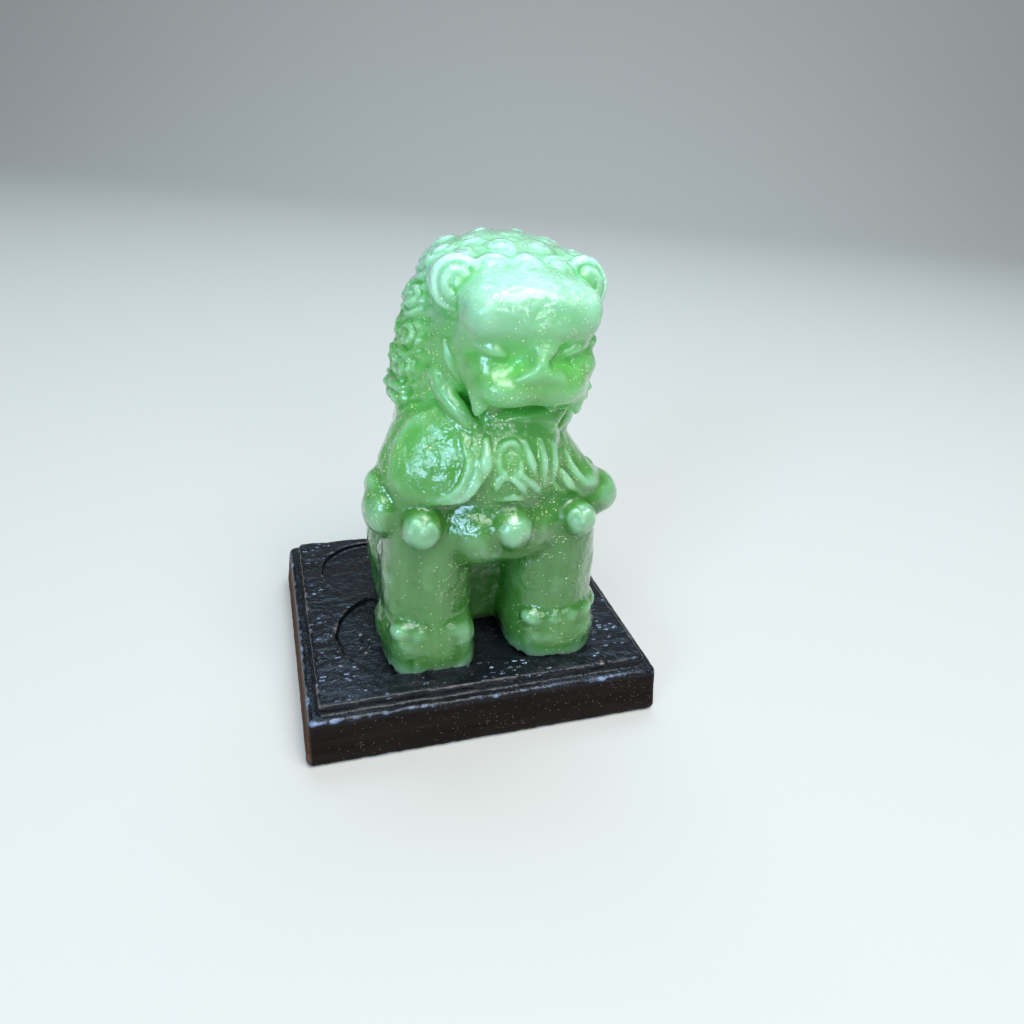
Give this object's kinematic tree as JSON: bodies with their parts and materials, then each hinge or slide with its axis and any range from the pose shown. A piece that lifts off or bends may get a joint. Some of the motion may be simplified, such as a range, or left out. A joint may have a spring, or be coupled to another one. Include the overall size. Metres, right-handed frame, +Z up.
{
  "type": "guardian lion statue",
  "caption": "Small seated guardian lion cast in translucent jade-green glitter resin, glued into a shallow pocket in a black-painted wooden base with a stepped edge.",
  "frame": {"origin": "centre of the underside of the base, on the surface the statue stands on", "axes": "+Z up, -Y is the side the lion faces, +X to the viewer's right when the lion faces the viewer"},
  "size_m": [0.078, 0.068, 0.0983],
  "materials": {
    "black_painted_wood": "thick gloss black paint brushed over wood, chipped and brown at the edges",
    "clear_glue": "clear set glue",
    "jade_resin": "glossy translucent jade-green casting resin with fine gold and silver glitter"
  },
  "bodies": {
    "root": {"base_board": "black_painted_wood", "glue_left_paw": "clear_glue", "glue_right_paw": "clear_glue", "glue_seat": "clear_glue", "lion_casting": "jade_resin"}
  },
  "joints": []
}
